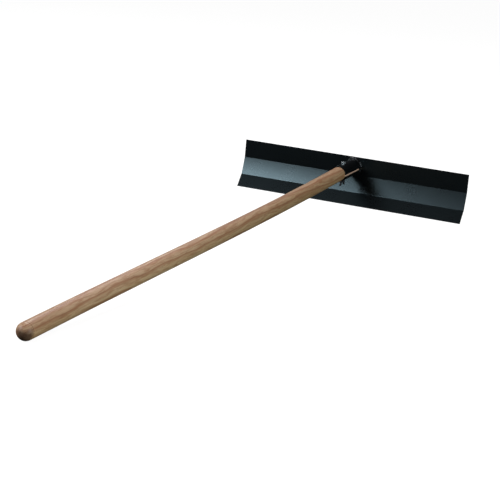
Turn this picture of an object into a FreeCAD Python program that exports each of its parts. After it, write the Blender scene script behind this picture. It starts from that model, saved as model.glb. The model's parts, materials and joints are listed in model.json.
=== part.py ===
import FreeCAD, Part
import math
import os
import Sketcher
from FreeCAD import Vector

# Hand concrete placer: a bent steel blade, a split socket welded to the blade's top facet, and a
# wooden handle clamped in the socket by a bolt and a wing nut.
#
# Frame: +Z up, X along the blade, +Y from the handle's butt towards the blade. The tool lies on
# the floor (Z = 0) on the blade's bottom edge and on the handle's butt. The origin is on the floor,
# below the middle of the tool's length.

# Driving dimensions, in millimetres and degrees.
SIZES = {
    "blade_length": 495.0,
    "blade_thickness": 2.0,
    "top_facet": 37.0,
    "middle_facet": 36.0,
    "lower_facet": 29.0,
    "top_lean": 2.0,             # the top facet leans back from the vertical
    "upper_bend": 14.0,
    "lower_bend": 20.0,
    "upper_bend_radius": 1.0,    # inside of the bend
    "lower_bend_radius": 5.0,
    "edge_round": 0.3,           # broken edges of the sheet metal
    "socket_rise": 16.5,         # from the upper bend up the top facet to the handle's axis
    "socket_length": 77.0,
    "shell_thickness": 2.0,
    "slit_width": 4.0,
    "slit_drop": 2.0,            # the slit's middle lies below the handle's axis
    "weld_leg": 3.2,
    "weld_crown": 0.65,          # where the bead's rounded face stands, as a share of its leg
    "handle_diameter": 28.6,
    "handle_length": 1219.0,
    "handle_gap": 2.0,           # between the handle's end and the blade
    "handle_chamfer": 1.5,
    "clamp_squeeze": 0.1,        # the shells press this far into the wood
    "squeeze_lead": 1.5,         # the wood is back to its full size this far from the socket
    "butt_groove": 0.6,          # turned groove where the domed butt begins
    "bolt_setback": 54.5,        # from the blade to the bolt, along the handle
    "bolt_diameter": 5.0,
    "bolt_length": 40.0,
    "bolt_chamfer": 0.6,
    "bolt_hole": 5.5,
    "head_across_flats": 8.0,
    "head_height": 3.5,
    "washer_diameter": 10.0,
    "washer_thickness": 1.0,
    "washer_hole": 5.2,
    "washer_gap": 0.05,          # between the lower shell and the loose washer
    "nut_hole": 5.1,
    "hub_diameter": 9.0,
    "hub_tip_diameter": 7.4,
    "hub_height": 5.0,
    "hub_round": 0.4,
    "nut_turn": 4.0,             # the wings' line is turned this far from the handle's
    "wing_span": 20.0,
    "wing_reach": 11.0,          # from the washer to the wing tips
    "wing_start": 0.9,           # from the washer to the wings' shoulders
    "wing_width": 5.0,
    "wing_thickness": 1.9,
    "wing_tip_radius": 2.2,
}

doc = FreeCAD.newDocument("concrete_placer")
sheet = doc.addObject("Spreadsheet::Sheet", "sizes")
for row, (alias, value) in enumerate(SIZES.items(), start=1):
    sheet.set("A%d" % row, alias)
    sheet.set("B%d" % row, str(value))
    sheet.setAlias("B%d" % row, alias)
doc.recompute()

# Expressions worked out from the sheet.
MIDDLE_LEAN = "(sizes.top_lean + sizes.upper_bend)"
LOWER_LEAN = "(sizes.top_lean + sizes.upper_bend + sizes.lower_bend)"
HANDLE_RADIUS = "(sizes.handle_diameter / 2)"
NECK_RADIUS = "(sizes.handle_diameter / 2 - sizes.clamp_squeeze)"
SHELL_RADIUS = "(sizes.handle_diameter / 2 - sizes.clamp_squeeze + sizes.shell_thickness)"
REACH = "(sizes.handle_gap + sizes.handle_length)"

# Height of the upper bend: the bottom edge's rear corner, broken by edge_round, is on the floor.
BEND_Z = (
    "(sizes.middle_facet * cos({middle}) + sizes.lower_facet * cos({lower})"
    " + sizes.blade_thickness * sin({lower})"
    " - sizes.edge_round * (sin({lower}) + cos({lower}) - 1))"
).format(middle=MIDDLE_LEAN, lower=LOWER_LEAN)
SOCKET_Z = "({bend} + sizes.socket_rise * cos(sizes.top_lean))".format(bend=BEND_Z)

# The handle slopes down until its domed butt, a half ball, rests on the floor.
SLOPE = "(asin(({height} - {radius}) / ({reach} - {radius})) / 1 deg)".format(
    height=SOCKET_Z, radius=HANDLE_RADIUS, reach=REACH)
FACE_ANGLE = "(sizes.top_lean + {slope})".format(slope=SLOPE)

# The origin is half-way between the butt and the rear of the blade's top edge.
BUTT_SETBACK = "(({reach} - {radius}) * cos({slope}) + {radius})".format(
    reach=REACH, radius=HANDLE_RADIUS, slope=SLOPE)
REAR_SETBACK = (
    "(sizes.top_facet * sin(sizes.top_lean) + sizes.blade_thickness * cos(sizes.top_lean))")
BEND_Y = "(({butt} - sizes.socket_rise * sin(sizes.top_lean) - {rear}) / 2)".format(
    butt=BUTT_SETBACK, rear=REAR_SETBACK)
SOCKET_Y = "({bend} + sizes.socket_rise * sin(sizes.top_lean))".format(bend=BEND_Y)

# The blade's frame has its origin on the upper bend of the front face.
BLADE_FRAME = "placement(vector(0; {y}; {z}); rotation(vector(1; 0; 0); 0))".format(
    y=BEND_Y, z=BEND_Z)
# The handle's frame has its origin where the handle's axis meets the blade's front face, +Y along
# the axis towards the blade and +Z along the bolt towards its head.
HANDLE_FRAME = "placement(vector(0; {y}; {z}); rotation(vector(1; 0; 0); {slope}))".format(
    y=SOCKET_Y, z=SOCKET_Z, slope=SLOPE)
# The bolt's frame is the handle's, moved along the handle to the bolt.
BOLT_FRAME = (
    "{handle} * placement(vector(0; -sizes.bolt_setback; 0); rotation(vector(0; 0; 1); 0))"
).format(handle=HANDLE_FRAME)
NUT_FRAME = (
    "{handle} * placement(vector(0; -sizes.bolt_setback; 0);"
    " rotation(vector(0; 0; 1); -sizes.nut_turn))"
).format(handle=HANDLE_FRAME)


def value_of(expression):
    """The present value of an expression, as a plain number."""
    result = sheet.evalExpression(expression)
    return float(getattr(result, "Value", result))


def new_body(label, frame_expression):
    """An empty body at a frame worked out from the sheet."""
    body = doc.addObject("PartDesign::Body", label)
    body.Label = label
    body.setExpression("Placement", frame_expression)
    return body


def new_sketch(body, name, plane_role):
    """A sketch on one of the body's own origin planes."""
    sketch = body.newObject("Sketcher::SketchObject", body.Name + "_" + name)
    for plane in body.Origin.OriginFeatures:
        if plane.Role == plane_role:
            sketch.AttachmentSupport = [(plane, "")]
    sketch.MapMode = "FlatFace"
    return sketch


def bind(sketch, constraint, expression):
    """Add a dimension to a sketch and tie it to the sheet."""
    index = sketch.addConstraint(constraint)
    sketch.setExpression("Constraints[%d]" % index, expression)


def add_outline(sketch, corners):
    """A closed outline through corners whose two coordinates are expressions."""
    points = [Vector(value_of(x), value_of(y), 0) for x, y in corners]
    lines = []
    for index, point in enumerate(points):
        following = points[(index + 1) % len(points)]
        lines.append(sketch.addGeometry(Part.LineSegment(point, following), False))
    for index, line in enumerate(lines):
        following = lines[(index + 1) % len(lines)]
        sketch.addConstraint(Sketcher.Constraint("Coincident", line, 2, following, 1))
    for line, point, (x, y) in zip(lines, points, corners):
        bind(sketch, Sketcher.Constraint("DistanceX", line, 1, point.x), x)
        bind(sketch, Sketcher.Constraint("DistanceY", line, 1, point.y), y)


def add_circle(sketch, centre, diameter):
    """A circle whose centre and diameter are expressions."""
    x, y = centre
    middle = Vector(value_of(x), value_of(y), 0)
    radius = value_of(diameter) / 2
    circle = sketch.addGeometry(Part.Circle(middle, Vector(0, 0, 1), radius), False)
    bind(sketch, Sketcher.Constraint("DistanceX", circle, 3, middle.x), x)
    bind(sketch, Sketcher.Constraint("DistanceY", circle, 3, middle.y), y)
    bind(sketch, Sketcher.Constraint("Diameter", circle, 2 * radius), diameter)


def pad(body, sketch, length, second_length=None):
    """Extrude a sketch: to both sides alike, or by two lengths, one along its normal."""
    feature = body.newObject("PartDesign::Pad", sketch.Name + "_pad")
    feature.Profile = sketch
    feature.setExpression("Length", length)
    if second_length is None:
        feature.SideType = "Symmetric"
    else:
        feature.SideType = "Two sides"
        feature.setExpression("Length2", second_length)
    doc.recompute()
    return feature


def revolve(body, sketch, axis="V_Axis"):
    """Turn a sketch all the way round one of its axes."""
    feature = body.newObject("PartDesign::Revolution", sketch.Name + "_turned")
    feature.Profile = sketch
    feature.ReferenceAxis = (sketch, [axis])
    doc.recompute()
    return feature


def cut_through(body, sketch):
    """Cut a sketch through the whole body, to both sides, and check that it cuts."""
    before = body.Tip.Shape.Volume
    feature = body.newObject("PartDesign::Pocket", sketch.Name + "_cut")
    feature.Profile = sketch
    feature.Type = "ThroughAll"
    feature.SideType = "Symmetric"
    doc.recompute()
    if not feature.Shape.Volume < before:
        raise RuntimeError(feature.Name + " removed nothing")
    return feature


def round_edges(body, names, radius):
    """Round the named edges, or all the edges of the named faces, of the body's last feature."""
    base = body.Tip
    feature = body.newObject("PartDesign::Fillet", body.Name + "_round")
    feature.Base = (base, names)
    feature.setExpression("Radius", radius)
    doc.recompute()
    return feature


def edges_through(feature, direction, points):
    """Names of the straight edges along a direction that pass through one of the points."""
    names = []
    for index, edge in enumerate(feature.Shape.Edges, start=1):
        start = edge.Vertexes[0].Point
        end = edge.Vertexes[-1].Point
        if (end - start).cross(direction).Length > 1e-6 or (end - start).Length < 1e-6:
            continue
        offsets = [(point - start).cross(direction).Length for point in points]
        if min(offsets) < 1e-6:
            names.append("Edge%d" % index)
    return names


def faces_facing(feature, directions):
    """Names of the flat faces whose outward normal is one of the directions."""
    names = []
    for index, face in enumerate(feature.Shape.Faces, start=1):
        if not isinstance(face.Surface, Part.Plane):
            continue
        normal = face.normalAt(0, 0)
        if any((normal - direction).Length < 1e-6 for direction in directions):
            names.append("Face%d" % index)
    return names


def blade_corners():
    """The sheet's section, as front corners from top to bottom and rear corners beside them."""
    leans = ["sizes.top_lean", MIDDLE_LEAN, LOWER_LEAN]
    lengths = ["sizes.top_facet", "sizes.middle_facet", "sizes.lower_facet"]
    bends = ["sizes.upper_bend", "sizes.lower_bend"]
    front = [("%s * sin(%s)" % (lengths[0], leans[0]), "%s * cos(%s)" % (lengths[0], leans[0]))]
    front.append(("0", "0"))
    for length, lean in zip(lengths[1:], leans[1:]):
        y, z = front[-1]
        front.append(("%s - %s * sin(%s)" % (y, length, lean), "%s - %s * cos(%s)" % (z, length, lean)))
    # Behind a bend the sheet's thickness is measured along the line that halves the bend.
    offsets = [("sizes.blade_thickness", leans[0])]
    for lean, bend in zip(leans[1:], bends):
        offsets.append(("sizes.blade_thickness / cos(%s / 2)" % bend, "(%s - %s / 2)" % (lean, bend)))
    offsets.append(("sizes.blade_thickness", leans[2]))
    rear = []
    for (y, z), (offset, lean) in zip(front, offsets):
        rear.append(("%s + %s * cos(%s)" % (y, offset, lean), "%s - %s * sin(%s)" % (z, offset, lean)))
    return front, rear


def make_blade():
    body = new_body("blade", BLADE_FRAME)
    front, rear = blade_corners()
    section = new_sketch(body, "section", "YZ_Plane")
    add_outline(section, front + rear[::-1])
    pad(body, section, "sizes.blade_length")
    along = Vector(1, 0, 0)

    def places(corners):
        return [Vector(0, value_of(y), value_of(z)) for y, z in corners]

    for index, inside in ((1, "sizes.upper_bend_radius"), (2, "sizes.lower_bend_radius")):
        round_edges(body, edges_through(body.Tip, along, places([front[index]])), inside)
        outside = inside + " + sizes.blade_thickness"
        round_edges(body, edges_through(body.Tip, along, places([rear[index]])), outside)
    rims = places([front[0], front[-1], rear[0], rear[-1]])
    round_edges(body, edges_through(body.Tip, along, rims), "sizes.edge_round")
    round_edges(body, faces_facing(body.Tip, [along, -along]), "sizes.edge_round")
    return body


def make_handle():
    body = new_body("handle", HANDLE_FRAME)
    profile = new_sketch(body, "profile", "YZ_Plane")
    butt = "(%s - %s)" % (REACH, HANDLE_RADIUS)
    end = "-sizes.handle_gap"
    corners = [
        (end, "0"),
        (end, "%s - sizes.handle_chamfer" % NECK_RADIUS),
        ("%s - sizes.handle_chamfer" % end, NECK_RADIUS),
        ("-sizes.socket_length - sizes.squeeze_lead / 2", NECK_RADIUS),
        ("-sizes.socket_length - sizes.squeeze_lead", HANDLE_RADIUS),
        ("sizes.butt_groove - %s" % butt, HANDLE_RADIUS),
        ("sizes.butt_groove / 2 - %s" % butt, "%s - sizes.butt_groove / 2" % HANDLE_RADIUS),
        ("-%s" % butt, HANDLE_RADIUS),
        ("-%s" % butt, "0"),
    ]
    add_outline(profile, corners)
    revolve(body, profile, "H_Axis")
    dome = new_sketch(body, "dome", "YZ_Plane")
    centre = Vector(-value_of(butt), 0, 0)
    radius = value_of(HANDLE_RADIUS)
    circle = Part.Circle(centre, Vector(0, 0, 1), radius)
    arc = dome.addGeometry(Part.ArcOfCircle(circle, math.pi / 2, math.pi), False)
    top = centre + Vector(0, radius, 0)
    tip = centre - Vector(radius, 0, 0)
    upright = dome.addGeometry(Part.LineSegment(centre, top), False)
    axis = dome.addGeometry(Part.LineSegment(tip, centre), False)
    dome.addConstraint(Sketcher.Constraint("Coincident", upright, 2, arc, 1))
    dome.addConstraint(Sketcher.Constraint("Coincident", arc, 2, axis, 1))
    dome.addConstraint(Sketcher.Constraint("Coincident", axis, 2, upright, 1))
    dome.addConstraint(Sketcher.Constraint("Coincident", arc, 3, axis, 2))
    dome.addConstraint(Sketcher.Constraint("PointOnObject", axis, 1, -1))
    dome.addConstraint(Sketcher.Constraint("PointOnObject", axis, 2, -1))
    dome.addConstraint(Sketcher.Constraint("Vertical", upright))
    bind(dome, Sketcher.Constraint("DistanceX", axis, 2, centre.x), "-%s" % butt)
    bind(dome, Sketcher.Constraint("Radius", arc, radius), HANDLE_RADIUS)
    revolve(body, dome, "H_Axis")
    drill_bolt_hole(body)
    return body


def drill_bolt_hole(body):
    """The bolt's hole through a piece that lies in the handle's frame."""
    hole = new_sketch(body, "bolt_hole", "XY_Plane")
    add_circle(hole, ("0", "-sizes.bolt_setback"), "sizes.bolt_hole")
    cut_through(body, hole)


def trim_to_blade(body):
    """Cut away what lies behind the blade's front face, above and below the upper bend."""
    region = new_sketch(body, "behind_blade", "YZ_Plane")
    far = "(4 * %s)" % SHELL_RADIUS
    below = "(%s + sizes.upper_bend)" % FACE_ANGLE
    bend_y = "(-sizes.socket_rise * sin(%s))" % FACE_ANGLE
    bend_z = "(-sizes.socket_rise * cos(%s))" % FACE_ANGLE
    corners = [
        (bend_y, bend_z),
        ("%s * sin(%s)" % (far, FACE_ANGLE), "%s * cos(%s)" % (far, FACE_ANGLE)),
        (far, "%s * cos(%s)" % (far, FACE_ANGLE)),
        (far, "%s - %s * cos(%s)" % (bend_z, far, below)),
        ("%s - %s * sin(%s)" % (bend_y, far, below), "%s - %s * cos(%s)" % (bend_z, far, below)),
    ]
    add_outline(region, corners)
    cut_through(body, region)


def keep_one_side(body, side):
    """Keep the upper (side 1) or lower (side -1) half of a ring, up to the edge of the slit."""
    region = new_sketch(body, "other_half", "XZ_Plane")
    far = "(2 * %s)" % SHELL_RADIUS
    edge = "(%d * sizes.slit_width / 2 - sizes.slit_drop)" % side
    beyond = "(%d * %s)" % (-side, far)
    add_outline(region, [("-" + far, edge), (far, edge), (far, beyond), ("-" + far, beyond)])
    cut_through(body, region)


def make_shell(label, side):
    body = new_body(label, HANDLE_FRAME)
    ring = new_sketch(body, "ring", "XZ_Plane")
    add_circle(ring, ("0", "0"), "2 * " + SHELL_RADIUS)
    add_circle(ring, ("0", "0"), "2 * " + NECK_RADIUS)
    # The ring reaches well past the blade's face, so that the cut along the face ends it.
    pad(body, ring, "sizes.socket_length", "sizes.socket_rise")
    keep_one_side(body, side)
    trim_to_blade(body)
    mouth = faces_facing(body.Tip, [Vector(0, -1, 0)])
    round_edges(body, mouth, "sizes.edge_round")
    drill_bolt_hole(body)
    return body


def make_weld_bead(label, side):
    body = new_body(label, HANDLE_FRAME)
    section = new_sketch(body, "section", "YZ_Plane")
    # Corners as distances from the centre along the blade's face, and out from the face.
    root = "(%s - sizes.shell_thickness / 2)" % SHELL_RADIUS
    toe = "(%s + sizes.weld_leg)" % SHELL_RADIUS
    crown = "(%s + sizes.weld_crown * sizes.weld_leg)" % SHELL_RADIUS
    places = [
        (root, "0"),
        (toe, "0"),
        (crown, "sizes.weld_crown * sizes.weld_leg"),
        (SHELL_RADIUS, "sizes.weld_leg"),
        (root, "sizes.weld_leg"),
    ]
    corners = []
    for along, out in places:
        y = "{0} * sin({2}) - {1} * cos({2})".format(along, out, FACE_ANGLE)
        z = "{0} * cos({2}) + {1} * sin({2})".format(along, out, FACE_ANGLE)
        corners.append((y, z))
    add_outline(section, corners)
    normal = Vector(-math.cos(math.radians(value_of(FACE_ANGLE))),
                    math.sin(math.radians(value_of(FACE_ANGLE))), 0)
    axis = section.addGeometry(Part.LineSegment(Vector(0, 0, 0), normal), True)
    section.addConstraint(Sketcher.Constraint("Coincident", axis, 1, -1, 1))
    bind(section, Sketcher.Constraint("DistanceX", axis, 2, normal.x), "-cos(%s)" % FACE_ANGLE)
    bind(section, Sketcher.Constraint("DistanceY", axis, 2, normal.y), "sin(%s)" % FACE_ANGLE)
    revolve(body, section, "Axis0")
    tube = new_sketch(body, "tube", "XZ_Plane")
    add_circle(tube, ("0", "0"), "2 * " + SHELL_RADIUS)
    cut_through(body, tube)
    keep_one_side(body, side)
    if side < 0:
        trim_to_blade(body)
    return body


def make_washer(label, side):
    """A plain washer on the upper shell (side 1) or below the lower one (side -1)."""
    body = new_body(label, BOLT_FRAME)
    section = new_sketch(body, "section", "XZ_Plane")
    gap = " + sizes.washer_gap" if side < 0 else ""
    inner = "(%d * (%s%s))" % (side, SHELL_RADIUS, gap)
    outer = "(%s + %d * sizes.washer_thickness)" % (inner, side)
    hole = "(sizes.washer_hole / 2)"
    rim = "(sizes.washer_diameter / 2)"
    add_outline(section, [(hole, inner), (rim, inner), (rim, outer), (hole, outer)])
    revolve(body, section)
    return body


def hexagon(across_flats):
    """Corners of a hexagon with two of its corners on the X axis."""
    corners = []
    for index in range(6):
        angle = 60 * index
        corners.append((
            "%s / (2 * cos(30)) * cos(%d)" % (across_flats, angle),
            "%s / (2 * cos(30)) * sin(%d)" % (across_flats, angle)))
    return corners


def make_bolt():
    body = new_body("clamp_bolt", BOLT_FRAME)
    seat = "(%s + sizes.washer_thickness)" % SHELL_RADIUS
    tip = "(%s - sizes.bolt_length)" % seat
    radius = "(sizes.bolt_diameter / 2)"
    head_top = "(%s + sizes.head_height)" % seat
    flats = "sizes.head_across_flats"
    head = new_sketch(body, "head", "XY_Plane")
    head.setExpression("AttachmentOffset.Base.z", seat)
    add_outline(head, hexagon(flats))
    pad(body, head, "sizes.head_height", "0")
    # The head's top corners are turned off at 30 degrees.
    corner = "(%s / (2 * cos(30)) + 1)" % flats
    turned = "(%s / 2)" % flats
    bevel = new_sketch(body, "bevel", "XZ_Plane")
    add_outline(bevel, [
        (turned, "%s + 0.001" % head_top),
        (corner, "%s + 0.001" % head_top),
        (corner, "%s - (%s - %s) * tan(30)" % (head_top, corner, turned)),
    ])
    before = body.Tip.Shape.Volume
    groove = body.newObject("PartDesign::Groove", "clamp_bolt_bevel_cut")
    groove.Profile = bevel
    groove.ReferenceAxis = (bevel, ["V_Axis"])
    doc.recompute()
    if not groove.Shape.Volume < before:
        raise RuntimeError("the bolt head's bevel removed nothing")
    shank = new_sketch(body, "shank", "XZ_Plane")
    add_outline(shank, [
        ("0", seat),
        (radius, seat),
        (radius, "%s + sizes.bolt_chamfer" % tip),
        ("%s - sizes.bolt_chamfer" % radius, tip),
        ("0", tip),
    ])
    revolve(body, shank)
    return body


def make_wing_nut():
    body = new_body("wing_nut", NUT_FRAME)
    top = "(-%s - sizes.washer_gap - sizes.washer_thickness)" % SHELL_RADIUS
    bottom = "(%s - sizes.hub_height)" % top
    hole = "(sizes.nut_hole / 2)"
    hub = new_sketch(body, "hub", "XZ_Plane")
    add_outline(hub, [
        ("0", top),
        ("sizes.hub_diameter / 2", top),
        ("sizes.hub_tip_diameter / 2", bottom),
        ("0", bottom),
    ])
    revolve(body, hub)
    wings = new_sketch(body, "wings", "YZ_Plane")
    shoulder = "(%s - sizes.wing_start)" % top
    tips = "(%s - sizes.wing_reach)" % top
    neck = "(sizes.hub_diameter / 2)"
    outside = "(sizes.wing_span / 2)"
    inside = "(sizes.wing_span / 2 - sizes.wing_width)"
    throat = "(sizes.hub_tip_diameter / 2 - sizes.hub_round)"
    half = [
        (neck, shoulder),
        (outside, "%s + sizes.wing_reach / 2" % tips),
        (outside, tips),
        (inside, tips),
        (throat, "%s + sizes.hub_round" % bottom),
    ]
    other_half = [("-" + y, z) for y, z in reversed(half)]
    add_outline(wings, half + other_half)
    pad(body, wings, "sizes.wing_thickness")
    across = Vector(1, 0, 0)
    tip_corners = []
    for side in (1, -1):
        for y, z in half[2:4]:
            tip_corners.append(Vector(0, side * value_of(y), value_of(z)))
    round_edges(body, edges_through(body.Tip, across, tip_corners), "sizes.wing_tip_radius")
    bore = new_sketch(body, "bore", "XY_Plane")
    add_circle(bore, ("0", "0"), "sizes.nut_hole")
    cut_through(body, bore)
    return body


pieces = [
    make_blade(),
    make_handle(),
    make_shell("socket_upper_shell", 1),
    make_shell("socket_lower_shell", -1),
    make_weld_bead("upper_weld_bead", 1),
    make_weld_bead("lower_weld_bead", -1),
    make_bolt(),
    make_washer("head_washer", 1),
    make_washer("nut_washer", -1),
    make_wing_nut(),
]
doc.recompute()

for item in doc.Objects:
    if "Invalid" in item.State or "Error" in item.State:
        raise RuntimeError("%s did not recompute: %s" % (item.Name, item.State))
for piece in pieces:
    if piece.Shape.isNull() or not piece.Shape.isValid() or len(piece.Shape.Solids) != 1:
        raise RuntimeError("%s is not one valid solid" % piece.Label)

os.makedirs("parts", exist_ok=True)
for piece in pieces:
    piece.Shape.exportStep(os.path.join("parts", piece.Label + ".step"))
    box = piece.Shape.BoundBox
    print("%-20s %10.1f mm3  x %.2f..%.2f  y %.2f..%.2f  z %.2f..%.2f" % (
        piece.Label, piece.Shape.Volume, box.XMin, box.XMax, box.YMin, box.YMax, box.ZMin, box.ZMax))
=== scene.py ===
import json
import math
import random

import bmesh
import bpy
from mathutils import Matrix, Vector, noise
from mathutils.bvhtree import BVHTree


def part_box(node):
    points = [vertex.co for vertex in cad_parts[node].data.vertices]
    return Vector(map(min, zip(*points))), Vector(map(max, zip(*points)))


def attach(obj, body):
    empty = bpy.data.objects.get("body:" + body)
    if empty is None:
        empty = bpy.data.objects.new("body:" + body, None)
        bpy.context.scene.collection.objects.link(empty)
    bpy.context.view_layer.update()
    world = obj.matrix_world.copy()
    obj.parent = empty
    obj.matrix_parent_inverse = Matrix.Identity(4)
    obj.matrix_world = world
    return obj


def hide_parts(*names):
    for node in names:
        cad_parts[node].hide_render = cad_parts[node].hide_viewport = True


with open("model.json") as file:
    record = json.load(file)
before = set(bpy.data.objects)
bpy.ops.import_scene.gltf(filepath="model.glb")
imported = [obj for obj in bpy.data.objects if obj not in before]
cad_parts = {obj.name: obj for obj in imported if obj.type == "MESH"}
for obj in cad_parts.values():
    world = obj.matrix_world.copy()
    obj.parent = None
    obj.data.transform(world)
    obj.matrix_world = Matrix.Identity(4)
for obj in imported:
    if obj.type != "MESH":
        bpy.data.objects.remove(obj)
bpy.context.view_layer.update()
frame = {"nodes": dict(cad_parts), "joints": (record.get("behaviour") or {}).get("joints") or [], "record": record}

# A hand concrete placer: a folded steel blade, a split socket welded to it, and a wooden handle
# held in the socket by a bolt with a wing nut. Lengths are in metres and angles in degrees.

# The camera's place and direction, seen from the middle of the tool.
CAMERA_PLACE = Vector((1.2406, -2.5238, 0.7286))
CAMERA_AZIMUTH = 24.99       # to the right of the handle's butt
CAMERA_ELEVATION = 14.11
CAMERA_ROLL = -4.24
CAMERA_LENS_MM = 120.0
CAMERA_SENSOR_MM = 36.0

SURROUND_LIGHT = 0.20        # weak light from all round
SURROUND_BELOW = 0.15        # share of it that comes from below
SURROUND_FADE = (-0.6, 0.1)  # heights on a unit ball between which it weakens
SURROUND_REFLECTED = 0.012   # what shiny pieces mirror of it
BLADE_MIDDLE = (0, 0.45, 0.05)
TOOL_MIDDLE = (0, 0, 0.05)
CARD_PLACE = (0, 1.75, 0.005)
CARD_AIM = (0, 1.75, 1)
FLOOR_HALF = 15.0            # from its middle to its edges
FLOOR_GREY = 0.2
FLOOR_GLOW = 0.93            # its own light, which makes it white

# The folded sheet of the blade, from its top edge down.
BLADE_FACETS = (0.037, 0.036, 0.029)
BLADE_LEANS = (2.0, 16.0, 36.0)
BLADE_THICKNESS = 0.002
UPPER_BEND_RADIUS = 0.001    # inside of the bend
LOWER_BEND_RADIUS = 0.005
FACET_BOW = 0.0004           # the middle facet is hollow by this much
EDGE_ROUND = 0.0003          # broken edges of the blade and of the socket's mouth
FACET_STEP = 0.004           # the sheet's mesh is at least this fine
LENGTH_STEP = 0.005
SHEET_WAVE = 0.00008         # how far the folded sheet is out of true
SHEET_RIPPLE = 0.35          # height of its short ripples, as a share of its long waves

SHELL_THICKNESS = 0.002
SHELL_STEP = 0.0016
SHELL_ARC_POINTS = 60
BOLT_HOLE_RADIUS = 0.00275
DRILL_REACH = 0.03

WELD_LEG = 0.0032
WELD_PITCH = 0.0027          # from one ripple of the bead to the next
WELD_RIPPLE = 0.075          # as a share of the leg
WELD_RIPPLE_LAG = 0.45       # share of a ripple
WELD_SWELL = 0.6             # as a share of the ripple
WELD_TAPER = 0.6             # length of the taper at its ends, as a share of the leg
WELD_SUNK = 0.0003           # how far the bead goes into the blade
WELD_STEPS = 150
WELD_SECTION_STEPS = 12
WELD_SWELLS = 60             # random swellings, one for each ripple
WELD_END_GAP = 0.0004        # from the bead's end to the slit
WELD_HOLLOW = 0.07           # how far its face is drawn in, as a share of the leg

HANDLE_CHAMFER = 0.0015
SQUEEZE = 0.0001             # the shells press this far into the wood
SQUEEZE_LEAD = 0.0015
BUTT_GROOVE = 0.0006
BUTT_GROOVE_DEPTH = 0.00045
DOME_STEPS = 24
GROOVE_STEPS = 8
HANDLE_STEP = 0.006
HANDLE_SEGMENTS = 96
HANDLE_WAVER = 0.00007       # the turned wood is out of round by this much
WAVER_FADE = 0.03            # length before the socket where it becomes round
HANDLE_SAG = 0.0042          # the wood is bowed down by this much

BOLT_RADIUS = 0.0025
THREAD_PITCH = 0.0008
THREAD_DEPTH = 0.0004
THREAD_LENGTH = 0.024
THREAD_ROWS_PER_TURN = 8
BOLT_CHAMFER = 0.0006
HEAD_ACROSS_FLATS = 0.008
HEAD_HEIGHT = 0.0035
HEAD_EDGE_ROUND = 0.00018
HEAD_BEVEL = 30.0
HEAD_DISH = 0.00012          # depth of the hollow in the head's top
WASHER_RADIUS = 0.005
WASHER_HOLE_RADIUS = 0.0026
WASHER_ROUND = 0.0002

NUT_TURN = 4.0               # the wings' line is turned this far from the handle's
NUT_HOLE_RADIUS = 0.00255
HUB_RADIUS = 0.0045
HUB_TIP_RADIUS = 0.0037
HUB_HEIGHT = 0.005
HUB_RIM = 0.0008             # height of the straight rim on the washer
WING_SPAN = 0.020
WING_REACH = 0.011           # from the washer to the wing tips
WING_START = 0.0009
WING_SUNK = 0.7              # the wings start here in the hub, as a share of its radius
WING_FOOT = 0.0006           # from the hub's lower end to the wings
WING_FOOT_SUNK = 0.0008      # the same, inside the hub
WING_WIDTH = 0.005
WING_TIP_RADIUS = 0.0022
WING_BACK_RADIUS = 0.002
WING_ROOT_RADIUS = 0.0008
WING_ROOT_THICKNESS = 0.0025
WING_TIP_THICKNESS = 0.0017
CAST_VOXEL = 0.0002
CAST_SMOOTHING = 0.5
CAST_SMOOTHING_ROUNDS = 5

# The tints are of the reflections, and the depths are of each finish's fine relief.
COAT_ROUGHNESS = 0.28
COAT_UNEVENNESS = 0.03       # how much the roughness varies with each of its two patterns
COAT_TINT = (0.60, 0.87, 1.0)
COAT_DARK = (0.0013, 0.0016, 0.0018)
COAT_PALE = (0.0021, 0.0026, 0.0029)
COAT_SPECK = (0.02, 0.022, 0.024)
COAT_PEEL_DEPTH = 0.000003
WELD_TINT = (0.78, 0.92, 1.0)
WELD_DARK = (0.002, 0.0025, 0.003)
WELD_PALE = (0.005, 0.005, 0.005)
WELD_GRIT_DEPTH = 0.00004
SCRATCH_DEPTH = 0.00001

# The wood. Its rings are nearly flat sheets at right angles to the direction (X, Y).
RING_DIRECTION = (-0.576, -0.817)
RING_SPACING = 0.0115
RING_SHIFT = 0.38            # share of a ring
SLOW_DRIFT = 0.030           # how far the rings wander in long waves
QUICK_DRIFT = 0.011          # and in short ones
FINE_DRIFT = 0.020           # the thin rings wander further
FINE_RING_HALF = 0.0030      # half the distance between the thin rings
FINE_RING_WIDTH = 0.0016
PORE_DEPTH = 0.00006
FLECK_DEPTH = 0.00008
RING_COLOURS = [
    (0.00, (0.44, 0.29, 0.19)),
    (0.30, (0.475, 0.33, 0.222)),
    (0.62, (0.42, 0.277, 0.178)),
    (0.86, (0.335, 0.182, 0.108)),
    (0.93, (0.285, 0.145, 0.085)),
    (1.00, (0.44, 0.29, 0.19)),
]
FIBRE_SHADES = [(0.30, (0.80, 0.78, 0.76)), (0.70, (1.10, 1.10, 1.10))]
FINE_RING_COLOUR = (0.29, 0.150, 0.085)
FLECK_COLOUR = (0.21, 0.115, 0.065)
STAIN_COLOUR = (0.27, 0.15, 0.09)
STREAK_COLOUR = (0.29, 0.140, 0.075)
# Painted light on the wood where it shows in the socket's slit.
PAINTED_SLIT_LIGHT_COLOUR = (0.66, 0.48, 0.38)
# Painted shade in the butt's groove, and grime with painted shade on the dome's lower side.
SHADE_AND_GRIME_COLOUR = (0.050, 0.024, 0.012)
OLIVE_TINT = (0.89, 1.0, 0.82)
SOCKET_END_TINT = (0.72, 0.69, 0.63)
BUTT_END_TINT = (0.90, 0.86, 0.81)


GRIP = frame["record"]["mounts"][0]


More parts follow.
